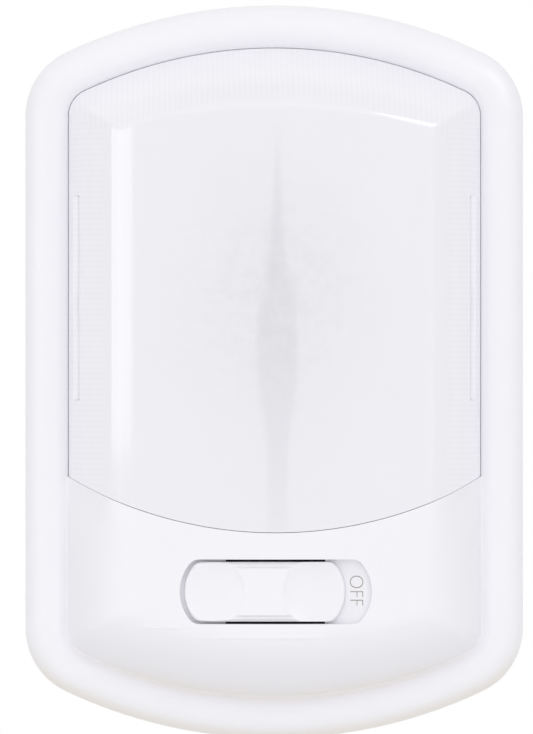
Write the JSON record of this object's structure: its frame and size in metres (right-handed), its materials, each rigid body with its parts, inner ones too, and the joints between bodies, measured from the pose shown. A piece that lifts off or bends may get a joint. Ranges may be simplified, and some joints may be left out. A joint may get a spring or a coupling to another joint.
{
  "type": "ceiling dome light",
  "caption": "Low white ceiling light with a rolled rim, a crowned ribbed lens that clips in, and a slide switch beside it.",
  "frame": {"origin": "middle of the pattern of ceiling screws, in the plane where the housing meets the ceiling", "axes": "+Z up, out of the housing's back into the ceiling, so the lens faces -Z; +Y along the housing towards the lens end, away from the switch; seen from below with +Y up, +X points left"},
  "size_m": [0.127, 0.187, 0.038],
  "materials": {
    "housing_plastic": "moulded white ABS, soft satin gloss",
    "lens_plastic": "milky translucent, fine prismatic ribs inside",
    "slider_plastic": "moulded white ABS, satin",
    "black_fibre": "pressed fibre sheet",
    "plated_steel": "zinc plated sheet",
    "phenolic": "brown laminate",
    "brass": "tinned at the tips",
    "black_plastic": "moulded nylon",
    "copper": "sprung copper strip",
    "bright_steel": "polished balls",
    "screw_steel": "nickel plated",
    "reflector_sheet": "bright rolled sheet",
    "rivet_aluminium": "drawn, satin",
    "bracket_steel": "zinc plated sheet",
    "socket_plastic": "heat proof moulding",
    "bulb_glass": "clear",
    "tungsten": "drawn wire coil",
    "nickel_wire": "drawn wire",
    "lead_insulation": "soft PVC"
  },
  "bodies": {
    "fixture": {"housing": "housing_plastic", "dust_shield": "black_fibre", "switch_frame": "plated_steel", "switch_base": "phenolic", "switch_lugs": "brass", "switch_screws": "screw_steel", "reflector": "reflector_sheet", "reflector_rivets": "rivet_aluminium", "socket_bracket": "bracket_steel", "socket_body": "socket_plastic", "socket_contacts": "brass", "switched_lead": "lead_insulation"},
    "lens_cover": {"lens": "lens_plastic"},
    "switch_slide_set": {"slider": "slider_plastic", "contact_carriage": "black_plastic", "bridge_contact": "copper", "detent_balls": "bright_steel"},
    "bulb": {"bulb_glass": "bulb_glass", "bulb_filament": "tungsten", "bulb_wires": "nickel_wire"}
  },
  "joints": [
    {"name": "switch_slide", "type": "slide", "parent": "fixture", "child": "switch_slide_set", "axis": [-1, 0, 0], "range_m": [0, 0.0055]},
    {"name": "lens_release", "type": "slide", "parent": "fixture", "child": "lens_cover", "axis": [0, 0, -1], "range_m": [0, 0.045]},
    {"name": "bulb_pull", "type": "slide", "parent": "fixture", "child": "bulb", "axis": [0, 1, 0], "range_m": [0, 0.011]}
  ]
}
